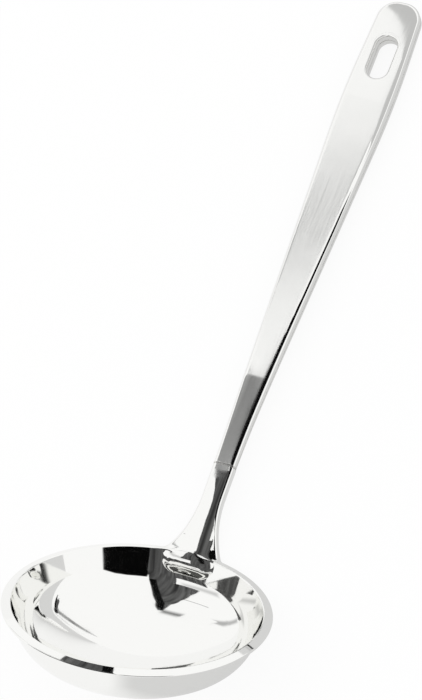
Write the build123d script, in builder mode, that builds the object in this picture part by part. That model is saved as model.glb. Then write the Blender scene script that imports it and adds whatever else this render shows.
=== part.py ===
# Soup ladle: a drawn round bowl, a solid neck and a hollow two-shell handle, welded and polished.
# Millimetres. The ladle lies on a table, on the bowl's outside and the handle's tip. The origin is where
# the bowl touches, +Z is up and +X runs along the handle. It is drawn with the bowl upright, in bowl_plane.
from build123d import *
from math import asin, atan2, cos, degrees, hypot, radians, sin, sqrt, tan
import os

os.makedirs("parts", exist_ok=True)

# Bowl
bowl_thickness = 1.2
bowl_wall_radius = 43.3  # outside of the upright wall
bowl_wall_height = 0.2  # straight part of the wall, between the corner and the lip's bend
bowl_corner_radius = 16.5  # outside, between the wall and the bottom
bowl_bottom_radius = 75.0  # outside, the shallow dish of the bottom
lip_bend_radius = 1.2  # on the underside of the flare
lip_flange = 2.4  # straight part of the flare
lip_droop = 17  # degrees below level
lip_edge_round = 0.5

# Centreline of neck and handle, in the plane of symmetry
root_offset = 2.4  # centreline at the root, outside the lip's edge
root_rise = 2.0  # root above the lip's crest
root_lean = 40  # degrees from the bowl's axis
handle_lean = 47
neck_bend_radius = 600.0
neck_length = 30.0  # root to the handle's lower end
handle_length = 196.0  # lower end to the tip

# Widths across and depths through
neck_width = 8.4
neck_depth = 4.6
handle_width = 20.6  # across the corner that is rounded at the widest place
widest_from_tip = 42.0
handle_depth = 7.0
widest_reach = 18.4  # the round takes this much of each side
shoulder_share = 0.8  # of the neck's straight side, taken by the curve into the handle
tip_width = 16.4
tip_share = 0.86  # of the tip's half width, taken by each rounded corner
front_round = 1.4
back_round = 1.9

# Foot of the neck, which straddles the rim
foot_width = 22.6
foot_drop = 10.6  # lowest part of the foot's outline below the rim, square to the handle's face
foot_round_share = 0.85  # of the drop, or of half the foot's width if that is less
flare_radius = 40.0  # trumpet flare from the neck out to the rim
foot_cover = 1.8  # metal above the lip's crest
toe_cover = 1.4  # toe's face inside the bowl's upright wall
toe_drop = 9.4  # toe below the crest, inside
heel_drop = 7.5  # heel below the crest, outside

# Handle shells, hanging slot, tang and welds
shell_thickness = 0.9
slot_width = 8.2
slot_length = 18.2
slot_from_tip = 24.6  # slot's centre below the tip
slot_flare = 1.3  # radius of the drawn edge, front and back
tang_length = 16.0
tang_clearance = 0.05
weld_width = 0.5
weld_depth = 0.35
overrun = 60.0  # reach of the cutting shapes past the part

# Sizes that follow from those above
lip_crest_radius = bowl_wall_radius + lip_bend_radius
lip_round = lip_bend_radius + bowl_thickness
lip_run = lip_round * sin(radians(lip_droop)) + lip_flange * cos(radians(lip_droop))
lip_radius = lip_crest_radius + lip_run
corner_centre = bowl_wall_radius - bowl_corner_radius
dish_radius = bowl_bottom_radius - bowl_corner_radius
dish_angle = asin(corner_centre / dish_radius)
corner_top = bowl_bottom_radius - dish_radius * cos(dish_angle)
wall_top = corner_top + bowl_wall_height
bowl_height = wall_top + lip_round  # lowest point to the crest of the lip
rim = bowl_height
root_x = lip_radius + root_offset
root_z = rim + root_rise
bend_length = neck_bend_radius * radians(handle_lean - root_lean)
tip_distance = neck_length + handle_length
slot_distance = tip_distance - slot_from_tip
station_shares = (0.0, 0.25, 0.5, 0.75, 1.0)  # of the handle's length


def path_lean(distance):
    """Lean of the centreline from the bowl's axis, in radians."""
    return radians(root_lean) + min(max(distance, 0), bend_length) / neck_bend_radius


def path_point(distance, rise=0):
    """Point in the plane of symmetry, a distance up the centreline and a rise off it."""
    start, lean = radians(root_lean), path_lean(distance)
    straight = distance - min(max(distance, 0), bend_length)
    x = root_x + neck_bend_radius * (cos(start) - cos(lean)) + straight * sin(lean)
    z = root_z + neck_bend_radius * (sin(lean) - sin(start)) + straight * cos(lean)
    return (x - rise * cos(lean), z + rise * sin(lean))


def front_length(distance):
    """Where a centreline distance falls on the front plane's Y, measured from the root."""
    x, z = path_point(distance)
    lean = radians(handle_lean)
    return (x - root_x) * sin(lean) + (z - root_z) * cos(lean)


def depth_at(distance):
    """Depth through neck and handle, which grows evenly from the joint to the slot."""
    grown = (distance - neck_length) / (slot_distance - slot_length - neck_length)
    return neck_depth + (handle_depth - neck_depth) * min(max(grown, 0), 1)


def wall_radius(drop, inside):
    """Radius of the bowl's wall at a drop below the crest, a thickness inside its outer face."""
    below = max(corner_top - (rim - drop), 0)
    return corner_centre + sqrt((bowl_corner_radius - inside) ** 2 - below**2)


def corner_radius(before, corner, after, reach):
    """Radius of the arc that rounds a corner and takes a reach of each side."""
    turn = (Vector(corner) - Vector(before)).get_angle(Vector(after) - Vector(corner))
    return reach / tan(radians(turn) / 2)


# How it lies: one line touches the round of the bowl's corner and the round at the back of the tip
tip_heel = path_point(tip_distance - back_round, back_round - handle_depth / 2)
heel_run, heel_climb = tip_heel[0] - corner_centre, tip_heel[1] - corner_top
heel_turn = asin((bowl_corner_radius - back_round) / hypot(heel_run, heel_climb))
rest_lean = atan2(heel_climb, heel_run) + heel_turn
rest_x = corner_centre + bowl_corner_radius * sin(rest_lean)
rest_z = corner_top - bowl_corner_radius * cos(rest_lean)

# Planes: the bowl's own, the plane of symmetry, and the one square to the handle's face at the root
turned = Plane.XY.rotated((0, degrees(rest_lean), 0))
lowest = turned.from_local_coords((-rest_x, 0, -rest_z))
bowl_plane = Plane(lowest, x_dir=turned.x_dir, z_dir=turned.z_dir)
bowl_axis = Axis(lowest, turned.z_dir)
side_plane = Plane(lowest, x_dir=turned.x_dir, z_dir=-turned.y_dir)


def heading(lean):
    """Direction in the plane of symmetry, at a lean from the bowl's axis."""
    return bowl_plane.x_dir * sin(lean) + bowl_plane.z_dir * cos(lean)


def path_plane(distance):
    """Plane square to the centreline, its Z pointing up the handle."""
    x, z = path_point(distance)
    start = bowl_plane.from_local_coords((x, 0, z))
    return Plane(start, x_dir=-bowl_plane.y_dir, z_dir=heading(path_lean(distance)))


front_plane = Plane(path_plane(0).origin, x_dir=-bowl_plane.y_dir, z_dir=heading(radians(handle_lean - 90)))
upward = Axis(front_plane.origin, front_plane.z_dir)
root_tangent = (sin(radians(root_lean)), cos(radians(root_lean)))
handle_tangent = (sin(radians(handle_lean)), cos(radians(handle_lean)))

# Outline of the face, from the flare to the middle of the tip, and the rounds at its corners
foot = foot_width / 2
foot_round = foot_round_share * min(foot, foot_drop)
rim_line = -(root_x - lip_crest_radius) * handle_tangent[0] - root_rise * handle_tangent[1]
flare_reach = flare_radius - (foot - neck_width / 2)
flare_end = (neck_width / 2, rim_line + sqrt(flare_radius**2 - flare_reach**2))
shoulder = (neck_width / 2, front_length(neck_length + neck_width))
widest = (handle_width / 2, front_length(tip_distance - widest_from_tip))
tip_corner = (tip_width / 2, front_length(tip_distance))
tip_middle = (0, front_length(tip_distance))
shoulder_reach = shoulder_share * (shoulder[1] - flare_end[1])
shoulder_radius = corner_radius(flare_end, shoulder, widest, shoulder_reach)
widest_radius = corner_radius(shoulder, widest, tip_corner, widest_reach)
tip_radius = corner_radius(widest, tip_corner, tip_middle, tip_share * tip_width / 2)


def side_profile(inset, footed):
    """Neck and handle seen from the side, with a plain lower end, or with toe and heel astride the rim."""
    stations = [neck_length + (handle_length - inset) * share for share in station_shares]
    upper = [path_point(d, depth_at(d) / 2 - inset) for d in [neck_depth] + stations]
    lower = [path_point(d, inset - depth_at(d) / 2) for d in [neck_depth] + stations]
    toe_x = bowl_wall_radius - bowl_thickness - toe_cover
    toe = (toe_x, rim - toe_drop)
    toe_end = (toe_x, rim - toe_drop - bowl_thickness)
    cover = (lip_crest_radius, rim + foot_cover)
    heel = (wall_radius(heel_drop, bowl_thickness / 2), rim - heel_drop)
    with BuildSketch(side_plane.offset(-overrun)) as profile:
        with BuildLine():
            Spline(upper, tangents=(root_tangent, handle_tangent))
            Line(upper[-1], lower[-1])
            Spline(lower, tangents=(root_tangent, handle_tangent))
            if footed:
                Spline(toe, cover, upper[0], tangents=((0, 1), root_tangent))
                Spline(heel, lower[0], tangents=(root_tangent[::-1], root_tangent))
                Polyline(heel, toe_end, toe)
            else:
                Line(upper[0], lower[0])
        make_face()
    return profile.sketch


def front_outline(inset, footed):
    """Neck and handle seen square to the face, with straight sides below, or with the flare and foot."""
    side, neck_end = neck_width / 2 - inset, flare_end[1]
    with BuildSketch(front_plane) as outline:
        with BuildLine():
            if footed:
                drop = rim_line - foot_drop
                FilletPolyline((0, drop), (foot, drop), (foot, rim_line), radius=foot_round)
                RadiusArc((foot, rim_line), (side, neck_end), flare_radius)
            else:
                Polyline((0, rim_line), (side, rim_line), (side, neck_end))
            FilletPolyline(
                (side, neck_end),
                (side, shoulder[1]),
                (widest[0] - inset, widest[1]),
                (tip_corner[0] - inset, tip_corner[1] - inset),
                (0, tip_middle[1] - inset),
                radius=(shoulder_radius + inset, widest_radius - inset, tip_radius - inset),
            )
            mirror(about=Plane.YZ)
        make_face()
    return outline.sketch


def stem_form(inset, front_edge=0, back_edge=0, footed=False):
    """Neck and handle as one solid, with the edges of its front and back faces rounded."""
    with BuildPart() as form:
        extrude(side_profile(inset, footed), amount=2 * overrun, dir=side_plane.z_dir)
        extrude(front_outline(inset, footed), amount=overrun, both=True, mode=Mode.INTERSECT)
        broad = form.faces().sort_by(SortBy.AREA)[-2:].sort_by(upward)
        for face, radius in zip(broad, (back_edge, front_edge)):
            if radius:
                edges = face.edges().filter_by_position(bowl_axis, rim + foot_cover, rim + tip_distance)
                fillet(edges, radius)
    return form.part


def path_slab(low, high):
    """Everything between two distances up the centreline."""
    with BuildPart() as slab:
        with BuildSketch(path_plane(low)):
            Rectangle(2 * overrun, 2 * overrun)
        extrude(amount=high - low)
    return slab.part


def seam_slab(low, high):
    """Everything between two rises off the centreline, from the joint to past the tip."""
    lean = path_lean(neck_length)
    turn = degrees(path_lean(bend_length) - lean)
    with BuildPart() as slab:
        with BuildSketch(side_plane.offset(-overrun)):
            with BuildLine():
                for rise in (low, high):
                    start = path_point(neck_length, rise)
                    bend = JernArc(start, (sin(lean), cos(lean)), neck_bend_radius + rise, -turn)
                    Line(bend @ 1, path_point(tip_distance + overrun, rise))
                for distance in (neck_length, tip_distance + overrun):
                    Line(path_point(distance, low), path_point(distance, high))
            make_face()
        extrude(amount=2 * overrun)
    return slab.part


def slot_column(margin):
    """The hanging slot's outline, widened by a margin and run through the handle."""
    with BuildPart() as column:
        with BuildSketch(front_plane):
            with Locations((0, front_length(slot_distance))):
                SlotOverall(slot_length + 2 * margin, slot_width + 2 * margin, rotation=90)
        extrude(amount=overrun, both=True)
    return column.part


# Bowl: one profile turned about its axis, wall, flared lip and dished bottom together
with BuildPart() as bowl:
    with BuildSketch(side_plane):
        with BuildLine():
            dish = JernArc((0, 0), (1, 0), bowl_bottom_radius, degrees(dish_angle))
            corner = JernArc(dish @ 1, dish % 1, bowl_corner_radius, 90 - degrees(dish_angle))
            wall = Line(corner @ 1, (bowl_wall_radius, wall_top))
            bend = JernArc(wall @ 1, (0, 1), lip_bend_radius, -90 - lip_droop)
            PolarLine(bend @ 1, lip_flange, -lip_droop)
            offset(amount=bowl_thickness, side=Side.LEFT)
        make_face()
    revolve(axis=bowl_axis)
    lip_edges = bowl.edges().filter_by(GeomType.CIRCLE).sort_by(SortBy.LENGTH)[-2:]
    fillet(lip_edges, lip_edge_round)
bowl.part.label = "bowl"
export_step(bowl.part, "parts/bowl.step")

# Solid outer form of neck and handle, with the slot's drawn edges, and the hollow inside it
with BuildPart() as outer:
    add(stem_form(0, front_round, back_round, footed=True))
    add(slot_column(0), mode=Mode.SUBTRACT)
    slot_edges = outer.edges(Select.LAST).filter_by(
        lambda edge: abs(edge.tangent_at(0.5).dot(front_plane.z_dir)) < 0.5
    )
    fillet(slot_edges, slot_flare)
with BuildPart() as cavity:
    add(stem_form(shell_thickness, front_round - shell_thickness, back_round - shell_thickness))
    add(slot_column(shell_thickness), mode=Mode.SUBTRACT)

# Weld metal: around the shells' seam, inside the slot, and around the joint with the neck
with BuildPart() as handle_seam_weld:
    add(stem_form(0))
    add(seam_slab(-weld_width / 2, weld_width / 2), mode=Mode.INTERSECT)
    add(path_slab(neck_length + weld_width / 2, tip_distance + overrun), mode=Mode.INTERSECT)
    add(stem_form(weld_depth), mode=Mode.SUBTRACT)
handle_seam_weld.part.label = "handle_seam_weld"
export_step(handle_seam_weld.part, "parts/handle_seam_weld.step")

with BuildPart() as slot_weld:
    add(slot_column(weld_depth))
    add(seam_slab(-weld_width / 2, weld_width / 2), mode=Mode.INTERSECT)
    add(slot_column(0), mode=Mode.SUBTRACT)
slot_weld.part.label = "slot_weld"
export_step(slot_weld.part, "parts/slot_weld.step")

with BuildPart() as neck_weld:
    add(outer.part)
    add(path_slab(neck_length - weld_width / 2, neck_length + weld_width / 2), mode=Mode.INTERSECT)
    add(stem_form(weld_depth, front_round - weld_depth, back_round - weld_depth), mode=Mode.SUBTRACT)
neck_weld.part.label = "neck_weld"
export_step(neck_weld.part, "parts/neck_weld.step")

# Handle shells, drawn from sheet and welded edge to edge along the centreline
with BuildPart() as handle_front_shell:
    add(outer.part)
    add(seam_slab(0, overrun), mode=Mode.INTERSECT)
    add([cavity.part, handle_seam_weld.part, slot_weld.part, neck_weld.part], mode=Mode.SUBTRACT)
handle_front_shell.part.label = "handle_front_shell"
export_step(handle_front_shell.part, "parts/handle_front_shell.step")

with BuildPart() as handle_back_shell:
    add(outer.part)
    add(seam_slab(-overrun, 0), mode=Mode.INTERSECT)
    add([cavity.part, handle_seam_weld.part, slot_weld.part, neck_weld.part], mode=Mode.SUBTRACT)
handle_back_shell.part.label = "handle_back_shell"
export_step(handle_back_shell.part, "parts/handle_back_shell.step")

# Neck: its foot straddles the rim, and its tang plugs into the hollow handle
with BuildPart() as tang:
    tang_inset = shell_thickness + tang_clearance
    add(stem_form(tang_inset, front_round - tang_inset, back_round - tang_inset))
    add(path_slab(neck_length, neck_length + tang_length), mode=Mode.INTERSECT)
with BuildPart() as neck:
    add(outer.part)
    add(path_slab(neck_length, tip_distance + overrun), mode=Mode.SUBTRACT)
    add([bowl.part, neck_weld.part], mode=Mode.SUBTRACT)
    add(tang.part)
neck.part.label = "neck"
export_step(neck.part, "parts/neck.step")
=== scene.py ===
# Soup ladle in polished and brushed stainless steel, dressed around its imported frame.
import bpy
import math
import numpy as np
from mathutils import Matrix, Vector


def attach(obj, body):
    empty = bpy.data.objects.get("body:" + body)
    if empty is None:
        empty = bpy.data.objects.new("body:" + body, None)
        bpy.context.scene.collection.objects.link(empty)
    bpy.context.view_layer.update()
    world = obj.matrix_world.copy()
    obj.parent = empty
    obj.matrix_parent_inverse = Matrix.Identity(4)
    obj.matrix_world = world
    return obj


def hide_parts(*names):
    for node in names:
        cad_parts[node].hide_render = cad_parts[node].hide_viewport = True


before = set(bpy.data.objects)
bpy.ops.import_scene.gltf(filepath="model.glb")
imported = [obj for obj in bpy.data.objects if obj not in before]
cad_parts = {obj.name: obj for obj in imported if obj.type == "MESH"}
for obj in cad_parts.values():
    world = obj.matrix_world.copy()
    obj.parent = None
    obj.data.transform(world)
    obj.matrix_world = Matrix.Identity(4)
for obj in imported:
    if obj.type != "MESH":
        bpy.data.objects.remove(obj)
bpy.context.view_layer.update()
mm = 0.001

# Sizes in millimetres, as the frame has them. The shapes are drawn with the bowl upright, then laid down
bowlSize = {
    "thickness": 1.2, "wallRadius": 43.3, "wallHeight": 0.2, "cornerRadius": 16.5, "bottomRadius": 75.0,
    "lipBend": 1.2, "lipFlange": 2.4, "lipDroop": 17.0, "lipRound": 0.5,
    "wallFlare": 20.0, "lipTop": 0.6, "lipUnder": 0.5, "turns": 256, "rimFrom": 33.0,
}
# Points in each stretch of the bowl's profile, and the angles that keep neighbouring stretches apart
profileSteps = {"bottom": 20, "corner": 34, "fillet": 12, "lip": 8, "innerCorner": 44, "innerBottom": 30}
profileGaps = {"axis": 0.0006, "corner": 0.03, "innerBottom": 0.012}
path = {
    "rootOffset": 2.4, "rootRise": 2.0, "rootLean": 40.0, "handleLean": 47.0, "bendRadius": 600.0,
    "neckLength": 30.0, "handleLength": 196.0,
}
stem = {
    "neckWidth": 8.4, "neckDepth": 4.6, "handleWidth": 20.6, "handleDepth": 7.0, "widestFromTip": 42.0,
    "shoulderShare": 0.8, "widestReach": 18.4, "tipWidth": 16.4, "tipShare": 0.86,
    "frontRound": 1.5, "backRound": 1.9, "wall": 0.9,
    "crownRadius": 420.0, "neckCrown": 26.0, "crownStart": 20.0, "crownReach": 14.0, "crownLimit": 3.2,
    "crownFade": 0.5,
    "pillowWidth": 2.4, "pillowRadius": 13.0,
}
slot = {"width": 8.2, "length": 18.2, "fromTip": 24.6, "flare": 1.3}
foot = {
    "width": 22.6, "drop": 6.8, "roundShare": 0.85, "flareRadius": 40.0, "cover": 1.8, "toeCover": 1.6,
    "toeDrop": 5.6, "heelDrop": 7.5, "heelCover": 1.3, "crestLean": 62.0, "blend": 1.6, "edge": 1.4,
    "sink": 0.03, "trimAcross": 17.0, "trimDown": 16.0, "toeRise": 1.1, "overrun": 4.0,
}
weld = {"width": 0.5}
# How finely a field's slope is felt, and how its mesh is drawn onto the surface
slopeStep = 0.01
drawing = {"rounds": 2, "step": 0.02, "leastSlope": 0.05}


# Places that follow from those sizes
cornerX = bowlSize["wallRadius"] - bowlSize["cornerRadius"]
cornerReach = bowlSize["bottomRadius"] - bowlSize["cornerRadius"]
dishLean = math.asin(cornerX / cornerReach)
cornerZ = bowlSize["bottomRadius"] - cornerReach * math.cos(dishLean)
lipCrest = bowlSize["wallRadius"] + bowlSize["lipBend"]
lipTurn = bowlSize["lipBend"] + bowlSize["thickness"]
rim = cornerZ + bowlSize["wallHeight"] + lipTurn
droop = math.radians(bowlSize["lipDroop"])
lipRadius = lipCrest + lipTurn * math.sin(droop) + bowlSize["lipFlange"] * math.cos(droop)
rootX, rootZ = lipRadius + path["rootOffset"], rim + path["rootRise"]
rootLean, handleLean = math.radians(path["rootLean"]), math.radians(path["handleLean"])
bendLength = path["bendRadius"] * (handleLean - rootLean)
tipDistance = path["neckLength"] + path["handleLength"]
slotDistance = tipDistance - slot["fromTip"]
rimLine = -(rootX - lipCrest) * math.sin(handleLean) - path["rootRise"] * math.cos(handleLean)


def pathPoint(distance, rise=0.0):
    bent = np.clip(distance, 0, bendLength)
    lean = rootLean + bent / path["bendRadius"]
    straight = distance - bent
    x = rootX + path["bendRadius"] * (np.cos(rootLean) - np.cos(lean)) + straight * np.sin(lean)
    z = rootZ + path["bendRadius"] * (np.sin(lean) - np.sin(rootLean)) + straight * np.cos(lean)
    return x - rise * np.cos(lean), z + rise * np.sin(lean)


def alongPath(x, z):  # the way back: distance along the neck's bend, and rise off it
    across = x - rootX - path["bendRadius"] * math.cos(rootLean)
    up = z - rootZ + path["bendRadius"] * math.sin(rootLean)
    distance = (np.arctan2(up, -across) - rootLean) * path["bendRadius"]
    return distance, np.hypot(across, up) - path["bendRadius"]


def frontLength(distance):  # along the flat face of the handle, from the root
    x, z = pathPoint(distance)
    return (x - rootX) * math.sin(handleLean) + (z - rootZ) * math.cos(handleLean)


# How it lies: one line touches the bowl's round corner and the round at the back of the tip
def restingPlace():
    roundness = stem["backRound"]
    heelX, heelZ = pathPoint(tipDistance - roundness, roundness - stem["handleDepth"] / 2)
    turn = math.asin((bowlSize["cornerRadius"] - roundness) / math.hypot(heelX - cornerX, heelZ - cornerZ))
    lean = math.atan2(heelZ - cornerZ, heelX - cornerX) + turn
    radius = bowlSize["cornerRadius"]
    return lean, cornerX + radius * math.sin(lean), cornerZ - radius * math.cos(lean)


restLean, restX, restZ = restingPlace()


def layWay(ways):  # turns directions from the upright drawing to the ladle as it lies
    x, y, z = ways.T
    c, s = math.cos(restLean), math.sin(restLean)
    return np.stack([x * c + z * s, y, z * c - x * s], 1)


def layDown(points):
    return layWay(points - [restX, 0, restZ])


# Outlines: a chain of points with rounded corners, as one closed line
def roundedChain(points, reaches):
    line = [np.array(points[0], float)]
    for here, reach in zip(range(1, len(points) - 1), reaches):
        a, b, c = (np.array(points[k], float) for k in (here - 1, here, here + 1))
        inward, outward = (a - b) / np.linalg.norm(a - b), (c - b) / np.linalg.norm(c - b)
        half = math.acos(np.clip(inward @ outward, -1, 1)) / 2
        radius = reach * math.tan(half)
        middle = b + (inward + outward) / np.linalg.norm(inward + outward) * radius / math.sin(half)
        start, end = b + inward * reach - middle, b + outward * reach - middle
        turn = math.acos(np.clip(start @ end / radius**2, -1, 1))
        for share in np.linspace(0, 1, max(6, round(turn / math.radians(6)))):
            bent = start * math.sin((1 - share) * turn) + end * math.sin(share * turn)
            line.append(middle + bent / math.sin(turn))
    line.append(np.array(points[-1], float))
    return np.array(line)


def softCurve(start, end, leaving, arriving, steps=20):  # cubic with given directions at its ends
    start, end = np.array(start, float), np.array(end, float)
    reach = np.linalg.norm(end - start)
    leaving, arriving = np.array(leaving, float) * reach, np.array(arriving, float) * reach
    t = np.linspace(0, 1, steps)[:, None]
    return (
        (2 * t**3 - 3 * t**2 + 1) * start + (t**3 - 2 * t**2 + t) * leaving
        + (3 * t**2 - 2 * t**3) * end + (t**3 - t**2) * arriving
    )


def outlineDistance(u, v, line):  # signed distance to a closed line, negative inside
    best, inside = np.full(u.shape, 1e9), np.zeros(u.shape, bool)
    for a, b in zip(line, np.roll(line, -1, 0)):
        e = b - a
        wu, wv = u - a[0], v - a[1]
        share = np.clip((wu * e[0] + wv * e[1]) / max(e @ e, 1e-12), 0, 1)
        best = np.minimum(best, (wu - share * e[0]) ** 2 + (wv - share * e[1]) ** 2)
        crossing = (a[1] > v) != (b[1] > v)
        if e[1]:
            inside ^= crossing & (u < a[0] + (v - a[1]) / e[1] * e[0])
    return np.where(inside, -1, 1) * np.sqrt(best)


def roundJoin(a, b, radius):  # the two forms' overlap, its edges rounded
    a, b = a + radius, b + radius
    return np.sqrt(np.maximum(a, 0) ** 2 + np.maximum(b, 0) ** 2) + np.minimum(np.maximum(a, b), 0) - radius


def softUnion(a, b, radius):
    share = np.clip(0.5 + 0.5 * (b - a) / radius, 0, 1)
    return b + (a - b) * share - radius * share * (1 - share)


# The front outline, from the foot to the tip, and mirrored
def makeOutline():
    footHalf, neckHalf = foot["width"] / 2, stem["neckWidth"] / 2
    flareReach = foot["flareRadius"] - (footHalf - neckHalf)
    flareTop = rimLine + math.sqrt(foot["flareRadius"] ** 2 - flareReach**2)
    low = rimLine - foot["drop"]
    footRound = foot["roundShare"] * min(footHalf, foot["drop"])
    bottom = roundedChain([(0, low), (footHalf, low), (footHalf, rimLine)], [footRound])
    angle = np.linspace(math.acos(flareReach / foot["flareRadius"]), 0, 16)
    flare = np.stack([
        neckHalf + foot["flareRadius"] * (1 - np.cos(angle)), flareTop - foot["flareRadius"] * np.sin(angle)
    ], 1)
    tip, shoulder = frontLength(tipDistance), frontLength(path["neckLength"] + stem["neckWidth"])
    side = roundedChain(
        [(neckHalf, flareTop), (neckHalf, shoulder),
         (stem["handleWidth"] / 2, frontLength(tipDistance - stem["widestFromTip"])),
         (stem["tipWidth"] / 2, tip), (0, tip)],
        [stem["shoulderShare"] * (shoulder - flareTop), stem["widestReach"],
         stem["tipShare"] * stem["tipWidth"] / 2],
    )
    half = np.concatenate([bottom, flare[1:], side[1:]])
    return np.concatenate([half, half[-2:0:-1] * [-1, 1]])


outline = makeOutline()


def depthAt(distance):
    grown = (distance - path["neckLength"]) / (slotDistance - slot["length"] - path["neckLength"])
    return stem["neckDepth"] + (stem["handleDepth"] - stem["neckDepth"]) * np.clip(grown, 0, 1)


def slotDistanceField(length, across):
    reach = (slot["length"] - slot["width"]) / 2
    along = np.maximum(np.abs(length - frontLength(slotDistance)) - reach, 0)
    return np.hypot(along, across) - slot["width"] / 2


# How far the front face falls away from flat: a slight crown, more on the neck, and a pillowed edge
def crownDrop(distance, across, sides):
    share = np.clip((distance - stem["crownStart"]) / stem["crownReach"], 0, 1)
    share = share * share * (3 - 2 * share)
    bend = (1 - share) / stem["neckCrown"] + share / stem["crownRadius"]
    pillow = np.maximum(sides + stem["pillowWidth"], 0) ** 2 / (2 * stem["pillowRadius"])
    return np.minimum(across**2 * bend / 2, stem["crownLimit"]) + share * pillow


# The handle as a field over distance up the path, place across and rise off it
def handleField(points, slotted=True):
    distance, across, rise = points.T
    x, z = pathPoint(distance, rise)
    length = (x - rootX) * math.sin(handleLean) + (z - rootZ) * math.cos(handleLean)
    sides = outlineDistance(across, length, outline)
    faces = np.abs(rise) + np.where(rise > 0, crownDrop(distance, across, sides), 0) - depthAt(distance) / 2
    edge = np.where(rise > 0, stem["frontRound"], stem["backRound"])
    if not slotted:
        return roundJoin(sides, faces, edge)
    hole = -slotDistanceField(length, across)
    edge = np.where(hole > sides, slot["flare"], edge)
    return roundJoin(np.maximum(sides, hole), faces, edge)


# Bowl: its profile as a closed line of points, each with the way its surface faces
def meet(start, way, other, otherWay):
    return start + way * np.linalg.solve(np.stack([way, -otherWay], 1), other - start)[0]


def makeProfile():
    corner, bottom, thick = bowlSize["cornerRadius"], bowlSize["bottomRadius"], bowlSize["thickness"]
    wallLean = math.pi / 2 - math.radians(bowlSize["wallFlare"])
    bendZ = rim - lipTurn
    rows = []

    def arc(centre, radius, start, end, steps, side):  # angles from straight down, towards +X
        for angle in np.linspace(start, end, steps):
            way = np.array([math.sin(angle), -math.cos(angle)])
            rows.append((*(np.array(centre) + radius * way), *(side * way)))

    def between(start, end, way, shares=(0.25, 0.5, 0.75)):
        for share in shares:
            rows.append((*(start + (end - start) * share), *way))

    def fillet(place, first, last, radius, side):  # side 1 on an outer edge, -1 in an inner one
        centre = place - side * radius * (first + last) / (1 + first @ last)
        turn = math.acos(np.clip(first @ last, -1, 1))
        for share in np.linspace(0, 1, profileSteps["fillet"]):
            way = (first * math.sin((1 - share) * turn) + last * math.sin(share * turn)) / math.sin(turn)
            rows.append((*(centre + side * radius * way), *way))

    out, up = np.array([math.cos(droop), -math.sin(droop)]), np.array([math.sin(droop), math.cos(droop)])
    wallOut = np.array([math.sin(wallLean), -math.cos(wallLean)])
    wallUp = np.array([math.cos(wallLean), math.sin(wallLean)])
    centre = np.array([cornerX, cornerZ])
    top = np.array([lipCrest, bendZ]) + up * lipTurn
    under = top - up * thick
    outerCorner = meet(centre + wallOut * corner, wallUp, under, out)
    innerCorner = meet(centre + wallOut * (corner - thick), wallUp, top, out)
    axis = profileGaps["axis"]
    arc((0, bottom), bottom, axis, dishLean, profileSteps["bottom"], 1)
    arc(centre, corner, dishLean + profileGaps["corner"], wallLean, profileSteps["corner"], 1)
    between(centre + wallOut * corner, outerCorner, wallOut)
    fillet(outerCorner, wallOut, -up, bowlSize["lipUnder"], -1)
    edge = bowlSize["lipRound"]
    between(outerCorner, under + out * (bowlSize["lipFlange"] - edge), -up, (0.4, 0.7))
    for middle, first in ((edge, 0), (thick - edge, 1)):
        spot = under + out * (bowlSize["lipFlange"] - edge) + up * middle
        for angle in np.linspace(-math.pi / 2, 0, profileSteps["lip"]) + first * math.pi / 2:
            way = out * math.cos(angle) + up * math.sin(angle)
            rows.append((*(spot + edge * way), *way))
    between(top + out * (bowlSize["lipFlange"] - edge), innerCorner, up, (0.3, 0.5, 0.7))
    fillet(innerCorner, up, -wallOut, bowlSize["lipTop"], 1)
    between(innerCorner, centre + wallOut * (corner - thick), -wallOut)
    arc(centre, corner - thick, wallLean, dishLean, profileSteps["innerCorner"], -1)
    lean = dishLean - profileGaps["innerBottom"]
    arc((0, bottom), bottom - thick, lean, axis, profileSteps["innerBottom"], -1)
    return np.array(rows)


profile = makeProfile()
rimLoop = profile[profile[:, 0] > bowlSize["rimFrom"], :2]


# Side view of the neck and its foot, where toe and heel grip the rim
def makeSide():
    rootWay = (math.sin(rootLean), math.cos(rootLean))
    start = stem["neckDepth"]
    half = stem["neckDepth"] / 2
    upper, lower = pathPoint(start, half), pathPoint(start, -half)
    toeX = bowlSize["wallRadius"] - bowlSize["thickness"] - foot["toeCover"]
    toe = (toeX, rim - foot["toeDrop"])
    cover = (lipCrest, rim + foot["cover"])
    heel = (bowlSize["wallRadius"] - foot["heelCover"], rim - foot["heelDrop"])
    crestLean = math.radians(foot["crestLean"])
    crest = (math.sin(crestLean), math.cos(crestLean))
    rise = softCurve(toe, cover, (0, foot["toeRise"]), crest)
    over = softCurve(cover, upper, crest, rootWay)
    under = softCurve(lower, heel, (-rootWay[0], -rootWay[1]), (-rootWay[1], -rootWay[0]))
    ahead = np.linspace(start, path["neckLength"] + foot["overrun"], 8)
    top = np.stack(pathPoint(ahead, half), 1)
    base = np.stack(pathPoint(ahead, -half), 1)[::-1]
    toeEnd = (toeX, rim - foot["toeDrop"] - bowlSize["thickness"])
    return np.concatenate([[toeEnd], rise, over[1:], top[1:], base, under[1:]])


sideLine = makeSide()


def neckField(points):  # points in millimetres, in the object's own frame
    x, y, z = points.T
    length = (x - rootX) * math.sin(handleLean) + (z - rootZ) * math.cos(handleLean)
    sides = outlineDistance(y, length, outline)
    distance, rise = alongPath(x, z)
    drop = crownDrop(distance, y, sides) * np.clip(rise + stem["crownFade"], 0, 1)
    faces = outlineDistance(x - drop * math.cos(handleLean), z + drop * math.sin(handleLean), sideLine)
    body = roundJoin(sides, faces, foot["edge"])
    wall = outlineDistance(np.hypot(x, y), z, rimLoop) + foot["sink"]  # so the bowl's own face shows beyond
    return softUnion(body, wall, foot["blend"])


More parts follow.
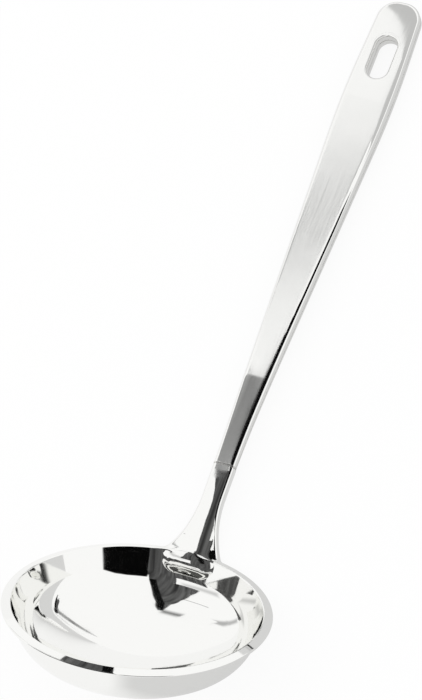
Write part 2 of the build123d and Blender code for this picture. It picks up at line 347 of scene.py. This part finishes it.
# Turns a field into a clean mesh: one point in each crossed cell, then drawn onto the surface
def meshFromField(field, xs, ys, zs):
    grid = np.stack(np.meshgrid(xs, ys, zs, indexing="ij"), -1)
    value = field(grid.reshape(-1, 3)).reshape(grid.shape[:3])
    inside = value < 0
    shape = [n - 1 for n in value.shape]
    total, count = np.zeros(shape + [3]), np.zeros(shape)
    for axis in range(3):
        others = [k for k in range(3) if k != axis]
        for da in (0, 1):
            for db in (0, 1):
                low, high = [None] * 3, [None] * 3
                for other, shift in zip(others, (da, db)):
                    low[other] = high[other] = slice(shift, shift + shape[other])
                low[axis], high[axis] = slice(0, shape[axis]), slice(1, shape[axis] + 1)
                a, b = value[tuple(low)], value[tuple(high)]
                crossed = (a < 0) != (b < 0)
                share = np.where(crossed, a / np.where(crossed, a - b, 1), 0)
                place = grid[tuple(low)] + share[..., None] * (grid[tuple(high)] - grid[tuple(low)])
                total += np.where(crossed[..., None], place, 0)
                count += crossed
    used = count > 0
    index = np.full(used.shape, -1)
    index[used] = np.arange(used.sum())
    points = total[used] / count[used][:, None]
    faces = []
    for axis in range(3):
        one, two = (axis + 1) % 3, (axis + 2) % 3
        low, high = [slice(1, -1)] * 3, [slice(1, -1)] * 3
        low[axis], high[axis] = slice(0, -1), slice(1, None)
        a, b = inside[tuple(low)], inside[tuple(high)]
        for crossing, flip in ((a & ~b, False), (~a & b, True)):
            cells = np.argwhere(crossing)
            cells[:, one] += 1
            cells[:, two] += 1
            ring = []
            for back in ((1, 1), (0, 1), (0, 0), (1, 0)):
                cell = cells.copy()
                cell[:, one] -= back[0]
                cell[:, two] -= back[1]
                ring.append(index[tuple(cell.T)])
            faces.append(np.stack(ring[::-1] if flip else ring, 1))
    faces = np.concatenate(faces)
    half = min(np.diff(places).min() for places in (xs, ys, zs)) / 2
    for turn in range(drawing["rounds"]):
        slope = gradient(field, points, drawing["step"])
        steepness = np.maximum((slope**2).sum(1, keepdims=True), drawing["leastSlope"])
        points = points - np.clip(field(points)[:, None] * slope / steepness, -half, half)
    return points, faces.tolist()


def gradient(field, points, step):
    ways = np.eye(3) * step
    return np.stack([field(points + way) - field(points - way) for way in ways], 1) / (2 * step)


def buildMesh(name, points, faces, normals, attributes=None):
    mesh = bpy.data.meshes.new(name)
    mesh.from_pydata((layDown(points) * mm).tolist(), [], faces)
    mesh.shade_smooth()
    mesh.normals_split_custom_set_from_vertices(layWay(normals).tolist())
    for label, values in (attributes or {}).items():
        attribute = mesh.attributes.new(label, "FLOAT_VECTOR", "POINT")
        attribute.data.foreach_set("vector", values.astype(np.float32).ravel())
    thing = bpy.data.objects.new(name, mesh)
    bpy.context.scene.collection.objects.link(thing)
    return thing


def unit(vectors):
    return vectors / np.maximum(np.linalg.norm(vectors, axis=1, keepdims=True), 1e-9)


# Materials
def toLinear(code):
    values = [int(code[k:k + 2], 16) / 255 for k in (1, 3, 5)]
    return [v / 12.92 if v <= 0.04045 else ((v + 0.055) / 1.055) ** 2.4 for v in values] + [1]


def addNode(tree, kind, inputs=None, out=0, **settings):  # each input is a socket to link or a value to set
    node = tree.nodes.new(kind)
    for key, value in settings.items():
        setattr(node, key, value)
    for key, value in (inputs or {}).items():
        if isinstance(value, bpy.types.NodeSocket):
            tree.links.new(value, node.inputs[key])
        else:
            node.inputs[key].default_value = value
    return node if out is None else node.outputs[out]


def newMaterial(name):
    material = bpy.data.materials.new(name)
    material.use_nodes = True
    shader = material.node_tree.nodes["Principled BSDF"]
    return material, material.node_tree, shader


# Polished stainless steel: pressed, then buffed to a mirror. Reflections stay sharp but waver a little
polish = {
    "colour": "#f8f8f6", "roughness": 0.035, "smear": 0.03,
    "hazeSize": 6.0, "hazeDetail": 4.0, "hazeFrom": 0.35, "hazeTo": 0.75,
    "waveSize": 14.0, "waveDetail": 1.5, "waveDepth": 0.018,
}
# Brushed stainless steel: belt-ground along the handle, so it mirrors lengthwise and blurs across. Real
# lines are about 0.05 mm wide, too fine for the render, so they are drawn 0.45 mm wide
brush = {
    "colour": "#f6f6f4", "roughness": 0.14, "roughSpread": 0.07, "anisotropy": 0.85,
    "edgeStart": 1.2, "edgeEnd": 2.1, "start": 23.6, "full": 25.2,
    "lineWidth": 0.45, "lineLength": 26.0, "lineDepth": 0.010, "lineDetail": 3.0,
    "roughFrom": 0.3, "roughTo": 0.7, "shadeFrom": 0.35, "shadeTo": 0.65, "shadeLeast": 0.6,
}
# Weld bead: ground nearly flush, a little duller and greyer than the sheet beside it
bead = {
    "dark": "#cfcecb", "light": "#efeeec", "roughness": 0.3, "roughSpread": 0.16,
    "grainSize": 0.5, "grainDetail": 3.0, "grainFrom": 0.3, "grainTo": 0.7,
}


def polishedWaves(tree):  # slow unevenness left by pressing and buffing
    place = addNode(tree, "ShaderNodeTexCoord", out="Object")
    waves = {0: place, 2: 1 / (polish["waveSize"] * mm), 3: polish["waveDetail"]}
    waves = addNode(tree, "ShaderNodeTexNoise", waves, "Fac")
    bumps = {"Strength": 1.0, "Distance": polish["waveDepth"] * mm, "Height": waves}
    return addNode(tree, "ShaderNodeBump", bumps), place


def makePolishedSteel():
    material, tree, shader = newMaterial("polishedStainlessSteel")
    shader.inputs["Metallic"].default_value = 1
    shader.inputs["Base Color"].default_value = toLinear(polish["colour"])
    normal, place = polishedWaves(tree)
    haze = {0: place, 2: 1 / (polish["hazeSize"] * mm), 3: polish["hazeDetail"]}
    haze = addNode(tree, "ShaderNodeTexNoise", haze, "Fac")
    least, most = polish["roughness"], polish["roughness"] + polish["smear"]
    spread = {0: haze, 1: polish["hazeFrom"], 2: polish["hazeTo"], 3: least, 4: most}
    roughness = addNode(tree, "ShaderNodeMapRange", spread, interpolation_type="SMOOTHSTEP")
    tree.links.new(roughness, shader.inputs["Roughness"])
    tree.links.new(normal, shader.inputs["Normal"])
    return material


def makeBrushedSteel():
    material, tree, shader = newMaterial("brushedStainlessSteel")
    shader.inputs["Metallic"].default_value = 1
    shader.inputs["Anisotropic"].default_value = brush["anisotropy"]
    onHandle = addNode(tree, "ShaderNodeAttribute", out="Vector", attribute_name="onHandle")
    parts = addNode(tree, "ShaderNodeSeparateXYZ", {0: onHandle}, None).outputs
    step = {0: parts["Z"], 1: brush["edgeStart"] * mm, 2: brush["edgeEnd"] * mm, 3: 0, 4: 1}
    inset = addNode(tree, "ShaderNodeMapRange", step, interpolation_type="SMOOTHSTEP")
    step = {0: parts["X"], 1: brush["start"] * mm, 2: brush["full"] * mm, 3: 0, 4: 1}
    along = addNode(tree, "ShaderNodeMapRange", step, interpolation_type="SMOOTHSTEP")
    brushed = addNode(tree, "ShaderNodeMath", {0: inset, 1: along}, operation="MULTIPLY")

    perLine = (1 / (brush["lineLength"] * mm), 1 / (brush["lineWidth"] * mm), 0)
    place = addNode(tree, "ShaderNodeVectorMath", {0: onHandle, 1: perLine}, operation="MULTIPLY")
    lines = addNode(tree, "ShaderNodeTexNoise", {0: place, 2: 1.0, 3: brush["lineDetail"]}, "Fac")
    least, most = (brush["roughness"] + side * brush["roughSpread"] / 2 for side in (-1, 1))
    spread = {0: lines, 1: brush["roughFrom"], 2: brush["roughTo"], 3: least, 4: most}
    streaks = addNode(tree, "ShaderNodeMapRange", spread)
    roughness = addNode(tree, "ShaderNodeMix", {0: brushed, 2: polish["roughness"], 3: streaks})
    tree.links.new(roughness, shader.inputs["Roughness"])

    shade = {0: lines, 1: brush["shadeFrom"], 2: brush["shadeTo"], 3: 1.0, 4: brush["shadeLeast"]}
    shade = addNode(tree, "ShaderNodeMapRange", shade)
    shade = addNode(tree, "ShaderNodeMath", {0: brushed, 1: shade}, operation="MULTIPLY")
    tones = {0: shade, 6: toLinear(polish["colour"]), 7: toLinear(brush["colour"])}
    tone = addNode(tree, "ShaderNodeMix", tones, 2, data_type="RGBA")
    tree.links.new(tone, shader.inputs["Base Color"])

    normal, place = polishedWaves(tree)
    grooves = {"Strength": brushed, "Distance": brush["lineDepth"] * mm, "Height": lines, "Normal": normal}
    tree.links.new(addNode(tree, "ShaderNodeBump", grooves), shader.inputs["Normal"])
    across = addNode(
        tree, "ShaderNodeVectorTransform", {0: (0, 1, 0)}, convert_from="OBJECT", convert_to="WORLD"
    )
    tree.links.new(across, shader.inputs["Tangent"])
    return material


def makeWeldedSteel():
    material, tree, shader = newMaterial("weldedStainlessSteel")
    shader.inputs["Metallic"].default_value = 1
    place = addNode(tree, "ShaderNodeTexCoord", out="Object")
    grain = {0: place, 2: 1 / (bead["grainSize"] * mm), 3: bead["grainDetail"]}
    grain = addNode(tree, "ShaderNodeTexNoise", grain, "Fac")
    tones = {0: grain, 6: toLinear(bead["dark"]), 7: toLinear(bead["light"])}
    tone = addNode(tree, "ShaderNodeMix", tones, 2, data_type="RGBA")
    tree.links.new(tone, shader.inputs["Base Color"])
    least, most = (bead["roughness"] + side * bead["roughSpread"] / 2 for side in (-1, 1))
    spread = {0: grain, 1: bead["grainFrom"], 2: bead["grainTo"], 3: least, 4: most}
    roughness = addNode(tree, "ShaderNodeMapRange", spread, interpolation_type="SMOOTHSTEP")
    tree.links.new(roughness, shader.inputs["Roughness"])
    return material


polishedSteel = makePolishedSteel()
brushedSteel = makeBrushedSteel()
weldedSteel = makeWeldedSteel()


def finishPiece(thing, material, node):
    thing.data.materials.append(material)
    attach(thing, "root")
    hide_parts(node)


# The profile turned about the bowl's axis
def makeBowl():
    turns, count = bowlSize["turns"], len(profile)
    angle = np.linspace(0, 2 * math.pi, turns, endpoint=False)
    c, s, one = np.cos(angle)[:, None], np.sin(angle)[:, None], np.ones((turns, 1))
    r, z, outward, upward = profile.T
    points = np.stack([c * r, s * r, one * z], -1).reshape(-1, 3)
    normals = np.stack([c * outward, s * outward, one * upward], -1).reshape(-1, 3)
    faces = []
    for turn in range(turns):
        here, there = turn * count, (turn + 1) % turns * count
        faces += [(here + k, there + k, there + k + 1, here + k + 1) for k in range(count - 1)]
    faces.append([turn * count for turn in range(turns)][::-1])
    faces.append([turn * count + count - 1 for turn in range(turns)])
    return buildMesh("bowlShell", points, faces, unit(normals), {"inBowl": points * mm})


bowlShell = makeBowl()
finishPiece(bowlShell, polishedSteel, "bowl")
print("bowl", len(bowlShell.data.polygons))


def spaced(*stretches):  # grid places: (from, to, step) stretches joined
    places = []
    for low, high, step in stretches:
        places += list(np.linspace(low, high, max(2, round((high - low) / step) + 1)))[:-1]
    return np.array(places + [stretches[-1][1]])


def handleWay(normals, distance):  # normals from path coordinates into the object's frame
    lean = rootLean + np.clip(distance, 0, bendLength) / path["bendRadius"]
    along, across, rise = normals.T
    x = along * np.sin(lean) - rise * np.cos(lean)
    z = along * np.cos(lean) + rise * np.sin(lean)
    return np.stack([x, across, z], 1)


def handlePlaces(distance, across, placed):  # how far up the handle, across it, and in from its outline
    length = (placed[:, 0] - rootX) * math.sin(handleLean) + (placed[:, 2] - rootZ) * math.cos(handleLean)
    return np.stack([distance, across, -outlineDistance(across, length, outline)], 1) * mm


def makeHandlePiece(name, field, distances, acrosses, rises):
    points, faces = meshFromField(field, distances, acrosses, rises)
    normals = unit(handleWay(unit(gradient(field, points, slopeStep)), points[:, 0]))
    x, z = pathPoint(points[:, 0], points[:, 2])
    placed = np.stack([x, points[:, 1], z], 1)
    places = handlePlaces(points[:, 0], points[:, 1], placed)
    return buildMesh(name, placed, faces, normals, {"onHandle": places})


def shellField(points, side):
    body = handleField(points)
    shell = np.maximum(body, -(body + stem["wall"]))
    seam = weld["width"] / 2 - side * points[:, 2]
    return np.maximum(shell, np.maximum(seam, path["neckLength"] + weld["width"] / 2 - points[:, 0]))


# Grid stretches in millimetres: from, to, step. They are finer at the neck's end and around the slot
handleGrid = {
    "along": ((29.7, 31.5, 0.25), (31.5, 184, 1.0), (184, 227, 0.4)),
    "across": ((-10.8, -8.0, 0.35), (-8.0, -3.0, 0.35), (-3.0, 3.0, 0.5), (3.0, 10.8, 0.35)),
    "rise": ((0.1, 0.5, 0.08), (0.5, 3.8, 0.3)),
}
along, across, rises = (spaced(*stretches) for stretches in handleGrid.values())
handleFront = makeHandlePiece("handleFront", lambda p: shellField(p, 1), along, across, rises)
finishPiece(handleFront, brushedSteel, "handle_front_shell")
handleBack = makeHandlePiece("handleBack", lambda p: shellField(p, -1), along, across, -rises[::-1])
finishPiece(handleBack, polishedSteel, "handle_back_shell")
print("handle", len(handleFront.data.polygons), len(handleBack.data.polygons))


def neckPieceField(points):
    x, y, z = points.T
    ahead = (x - rootX) * math.sin(handleLean) + (z - rootZ) * math.cos(handleLean)
    joint = frontLength(path["neckLength"] - weld["width"] / 2)
    below = np.minimum(ahead - rimLine, 0)
    trim = (np.hypot(y / foot["trimAcross"], below / foot["trimDown"]) - 1) * foot["trimDown"]
    return np.maximum(np.maximum(neckField(points), ahead - joint), trim)


neckGrid = {"x": (36, 72.5), "y": (-18, 18.2), "z": (8, 52.5), "step": 0.4}
neckPoints, neckFaces = meshFromField(
    neckPieceField, *(np.arange(*neckGrid[axis], neckGrid["step"]) for axis in "xyz")
)
neckNormals = unit(gradient(neckPieceField, neckPoints, slopeStep))
neckDistance = alongPath(neckPoints[:, 0], neckPoints[:, 2])[0]
neckPlaces = handlePlaces(neckDistance, neckPoints[:, 1], neckPoints)
neckStem = buildMesh("neckStem", neckPoints, neckFaces, neckNormals, {"onHandle": neckPlaces})
finishPiece(neckStem, brushedSteel, "neck")
print("neck", len(neckStem.data.polygons))

for node in ("handle_seam_weld", "slot_weld", "neck_weld"):
    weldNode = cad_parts[node]
    weldNode.data.materials.clear()
    weldNode.data.materials.append(weldedSteel)


# Camera, placed as the photograph was taken
camera = {
    "place": (-0.30723, -0.43136, 1.13499), "yaw": 48.651, "pitch": -61.878, "roll": -30.780,
    "lens": 179.42, "sensor": 36, "near": 0.05, "far": 20,
}


def makeCamera():
    data = bpy.data.cameras.new("studioCamera")
    data.sensor_width, data.lens = camera["sensor"], camera["lens"]
    data.clip_start, data.clip_end = camera["near"], camera["far"]
    thing = bpy.data.objects.new("studioCamera", data)
    bpy.context.scene.collection.objects.link(thing)
    yaw, pitch = math.radians(camera["yaw"]), math.radians(camera["pitch"])
    look = Vector((math.cos(pitch) * math.cos(yaw), math.cos(pitch) * math.sin(yaw), math.sin(pitch)))
    aim = look.to_track_quat("-Z", "Y").to_matrix().to_4x4()
    roll = Matrix.Rotation(math.radians(camera["roll"]), 4, "Z")
    thing.matrix_world = Matrix.Translation(camera["place"]) @ (aim @ roll)
    bpy.context.scene.camera = thing


makeCamera()


# Studio: a pale floor in a white surround, with dark patches and cards that only the metal sees.
# Patches of the surround: corners as direction x/(1+z), y/(1+z), then softness and grey
patches = {
    "blackFlag": ([(-0.44, -0.125), (-0.44, -0.57), (-0.165, -0.56), (-0.105, -0.40), (-0.10, -0.28),
                   (-0.13, -0.125)], 0.008, "#050505"),
    "facePatch": ([(0.1985, 0.42), (0.1985, 0.02), (0.2080, 0.02), (0.2080, 0.42)], 0.005, "#868686"),
    "thinLine": ([(0.480, 0.44), (0.480, 0.17), (0.502, 0.17), (0.506, 0.44)], 0.014, "#7a7a7a"),
    "slantBand": ([(0.455, 0.46), (0.53, 0.43), (0.47, 0.60), (0.36, 0.72), (0.33, 0.66)], 0.03, "#b8b8b8"),
    "farBand": ([(0.33, 0.66), (0.38, 0.70), (0.27, 0.88), (0.19, 0.88)], 0.03, "#bebebe"),
    "sideBand": ([(-0.17, 0.55), (-0.15, 0.17), (-0.10, 0.17), (-0.09, 0.55)], 0.04, "#cfcfcf"),
}
# Cards held level over the table: corners and height in millimetres, then the tone
cards = {
    "wedgeGrey": ([
        (-75, -24), (-46, -15), (-17, -6.5), (11, 3), (57, 18), (112, 38), (120.5, 44), (120.5, 49),
        (107, 49), (53, 44.5), (15, 50), (-16, 66), (-17, 26), (-44, 26), (-46, 96), (-75, 96),
    ], 100.0, "streakedCard"),
    "wedgeBlack": ([
        (-17, -6.8), (11, 2.7), (57, 17.7), (112, 37.7), (120.8, 44), (120.8, 49.2), (112, 46), (57, 25.5),
        (11, 10), (-17, 2),
    ], 99.5, "blackCard"),
    "neckGrey": ([
        (24, 4.6), (24, -4), (29, -4.4), (28, -8), (42, -8), (50.5, -5), (50.5, 10.5), (47.9, 9.7),
        (42.1, 6.3), (38.1, 4.9), (33.1, 4.8), (29.8, 5.1),
    ], 26.0, "streakedCard"),
    "neckWhite": ([
        (24, 4.6), (29.8, 5.1), (33.1, 4.8), (38.1, 4.9), (42.1, 6.3), (47.9, 9.7), (50.5, 10.5), (50.5, 24),
        (28, 24), (24, 9),
    ], 26.0, "whiteCard"),
    "faceGrey": ([
        (50.5, 14), (50.5, 0), (53.8, 2.4), (59.1, 3.2), (67.6, 3.9), (76.2, 3.8), (85, 3.1), (90.6, 2.6),
        (90.6, 24),
    ], 26.0, "paleStreakedCard"),
    "edgeBlack": ([
        (180, -42), (164, -20), (146, -14.2), (128, -8), (119.7, -3.5), (111.2, -0.9), (102.6, 1.2),
        (94.7, 2.2), (85, 3.1), (76.2, 3.8), (67.6, 3.9), (59.1, 3.2), (53.8, 2.0), (49, -5), (42, -8),
        (33, -8), (33, -26), (54, -30), (85, -26), (111, -26), (128, -34), (145, -48), (158, -62), (175, -86),
    ], 26.0, "blackCard"),
    "tipGrey": ([
        (194, -11), (194, -60), (262, -60), (262, 20), (253, 14), (249.8, 8.2), (245.6, 3.8), (239.4, 0.4),
        (230.6, -4.5), (222, -3.5), (212.5, -2.8), (203.2, -4.3),
    ], 26.0, "greyCard"),
}
streakTones = {"streakedCard": ("#303030", "#6c6c6c"), "paleStreakedCard": ("#808080", "#c0c0c0")}
plainTones = {"blackCard": "#0b0b0b", "greyCard": "#c4c4c4", "whiteCard": "#ffffff"}
streak = {"width": 5.0, "length": 90.0, "detail": 4.0, "roughness": 0.4, "from": 0.35, "to": 0.68}
# What the floor is made of, and how much of it is lit white for the camera and for the metal. In the metal
# it gets dimmer towards the handle's right side, between two lines across the ladle in millimetres
floorLook = {
    "size": 12, "base": 0.82, "camera": 0.85, "white": 1.03, "glossy": 0.80,
    "near": -25.0, "far": 25.0, "dim": 0.66, "way": (0.1, -1, 0),
}


def makeCard(name, corners, height, material):
    mesh = bpy.data.meshes.new(name)
    mesh.from_pydata([(x * mm, y * mm, height * mm) for x, y in corners], [], [list(range(len(corners)))])
    mesh.materials.append(material)
    card = bpy.data.objects.new(name, mesh)
    bpy.context.scene.collection.objects.link(card)
    card.visible_camera = False
    card.visible_diffuse = False
    card.visible_shadow = False
    card.visible_transmission = False


def makeGlow(name):  # a plain or a streaked card's own light
    material = bpy.data.materials.new(name)
    material.use_nodes = True
    tree = material.node_tree
    tree.nodes.clear()
    if name in plainTones:
        tone = toLinear(plainTones[name])
    else:
        place = addNode(tree, "ShaderNodeTexCoord", out="Object")
        perStreak = (1 / (streak["length"] * mm), 1 / (streak["width"] * mm), 0)
        place = addNode(tree, "ShaderNodeVectorMath", {0: place, 1: perStreak}, operation="MULTIPLY")
        streaks = {0: place, 2: 1.0, 3: streak["detail"], 8: streak["roughness"]}
        streaks = addNode(tree, "ShaderNodeTexNoise", streaks, "Fac")
        streaks = {0: streaks, 1: streak["from"], 2: streak["to"], 3: 0, 4: 1}
        streaks = addNode(tree, "ShaderNodeMapRange", streaks)
        dark, light = (toLinear(code) for code in streakTones[name])
        tone = addNode(tree, "ShaderNodeMix", {0: streaks, 6: dark, 7: light}, 2, data_type="RGBA")
    glow = addNode(tree, "ShaderNodeEmission", {0: tone})
    addNode(tree, "ShaderNodeOutputMaterial", {0: glow}, None)
    return material


def makeCards():
    glows = {name: makeGlow(name) for name in (*streakTones, *plainTones)}
    for name, (corners, height, glow) in cards.items():
        makeCard(name, corners, height, glows[glow])


def patchDepth(tree, spot, corners):  # how far inside a patch a direction lies, negative outside
    depth = None
    for here, there in zip(corners, corners[1:] + corners[:1]):
        side = Vector((there[0] - here[0], there[1] - here[1])).normalized()
        inward = (-side.y, side.x, 0)
        start = here[0] * inward[0] + here[1] * inward[1]
        off = addNode(tree, "ShaderNodeVectorMath", {0: spot, 1: inward}, 1, operation="DOT_PRODUCT")
        off = addNode(tree, "ShaderNodeMath", {0: off, 1: start}, operation="SUBTRACT")
        if depth:
            off = addNode(tree, "ShaderNodeMath", {0: depth, 1: off}, operation="MINIMUM")
        depth = off
    return depth


def makeSurround():
    world = bpy.data.worlds.new("studioWorld")
    bpy.context.scene.world = world
    world.use_nodes = True
    tree = world.node_tree
    way = addNode(tree, "ShaderNodeTexCoord", out="Generated")
    up = addNode(tree, "ShaderNodeSeparateXYZ", {0: way}, "Z")
    up = addNode(tree, "ShaderNodeMath", {0: up, 1: 1.0}, operation="ADD")
    share = addNode(tree, "ShaderNodeMath", {0: 1.0, 1: up}, operation="DIVIDE")
    spot = addNode(tree, "ShaderNodeVectorMath", {0: way, "Scale": share}, operation="SCALE")
    colour = (1, 1, 1, 1)
    for corners, softness, tone in patches.values():
        edge = {0: patchDepth(tree, spot, corners), 1: -softness, 2: softness, 3: 0, 4: 1}
        inside = addNode(tree, "ShaderNodeMapRange", edge, interpolation_type="SMOOTHSTEP")
        tones = {0: inside, 6: colour, 7: toLinear(tone)}
        colour = addNode(tree, "ShaderNodeMix", tones, 2, data_type="RGBA")
    glossy = addNode(tree, "ShaderNodeLightPath", out="Is Glossy Ray")
    tones = {0: glossy, 6: (1, 1, 1, 1), 7: colour}
    shown = addNode(tree, "ShaderNodeMix", tones, 2, data_type="RGBA")
    tree.links.new(shown, tree.nodes["Background"].inputs["Color"])
    tree.nodes["Background"].inputs["Strength"].default_value = 1


def makeFloor():
    bpy.ops.mesh.primitive_plane_add(size=floorLook["size"], location=(0, 0, 0))
    floor = bpy.context.object
    floor.name = "studioFloor"
    material, tree, shader = newMaterial("paleFloor")
    shader.inputs["Base Color"].default_value = (*[floorLook["base"]] * 3, 1)
    shader.inputs["Roughness"].default_value = 1.0
    shader.inputs["Specular IOR Level"].default_value = 0
    rays = addNode(tree, "ShaderNodeLightPath", out=None).outputs
    place = addNode(tree, "ShaderNodeTexCoord", out="Object")
    away = addNode(
        tree, "ShaderNodeVectorMath", {0: place, 1: floorLook["way"]}, 1, operation="DOT_PRODUCT"
    )
    fade = {0: away, 1: floorLook["near"] * mm, 2: floorLook["far"] * mm, 3: 1.0, 4: floorLook["dim"]}
    dimmed = addNode(tree, "ShaderNodeMapRange", fade, interpolation_type="SMOOTHSTEP")
    seen = {0: rays["Is Camera Ray"], 1: floorLook["camera"]}
    seen = addNode(tree, "ShaderNodeMath", seen, operation="MULTIPLY")
    mirrored = {0: rays["Is Glossy Ray"], 1: rays["Is Transmission Ray"]}
    mirrored = addNode(tree, "ShaderNodeMath", mirrored, operation="MAXIMUM")
    share = addNode(tree, "ShaderNodeMath", {0: mirrored, 1: floorLook["glossy"]}, operation="MULTIPLY")
    share = addNode(tree, "ShaderNodeMath", {0: seen, 1: share}, operation="MAXIMUM")
    level = addNode(tree, "ShaderNodeMix", {0: mirrored, 2: floorLook["white"], 3: dimmed})
    white = addNode(tree, "ShaderNodeEmission", {0: (1, 1, 1, 1), 1: level})
    mixed = addNode(tree, "ShaderNodeMixShader", {0: share, 1: shader.outputs[0], 2: white})
    tree.links.new(mixed, tree.nodes["Material Output"].inputs["Surface"])
    floor.data.materials.append(material)


makeFloor()
makeSurround()
makeCards()
bpy.context.scene.view_settings.view_transform = "Standard"
print("studio")
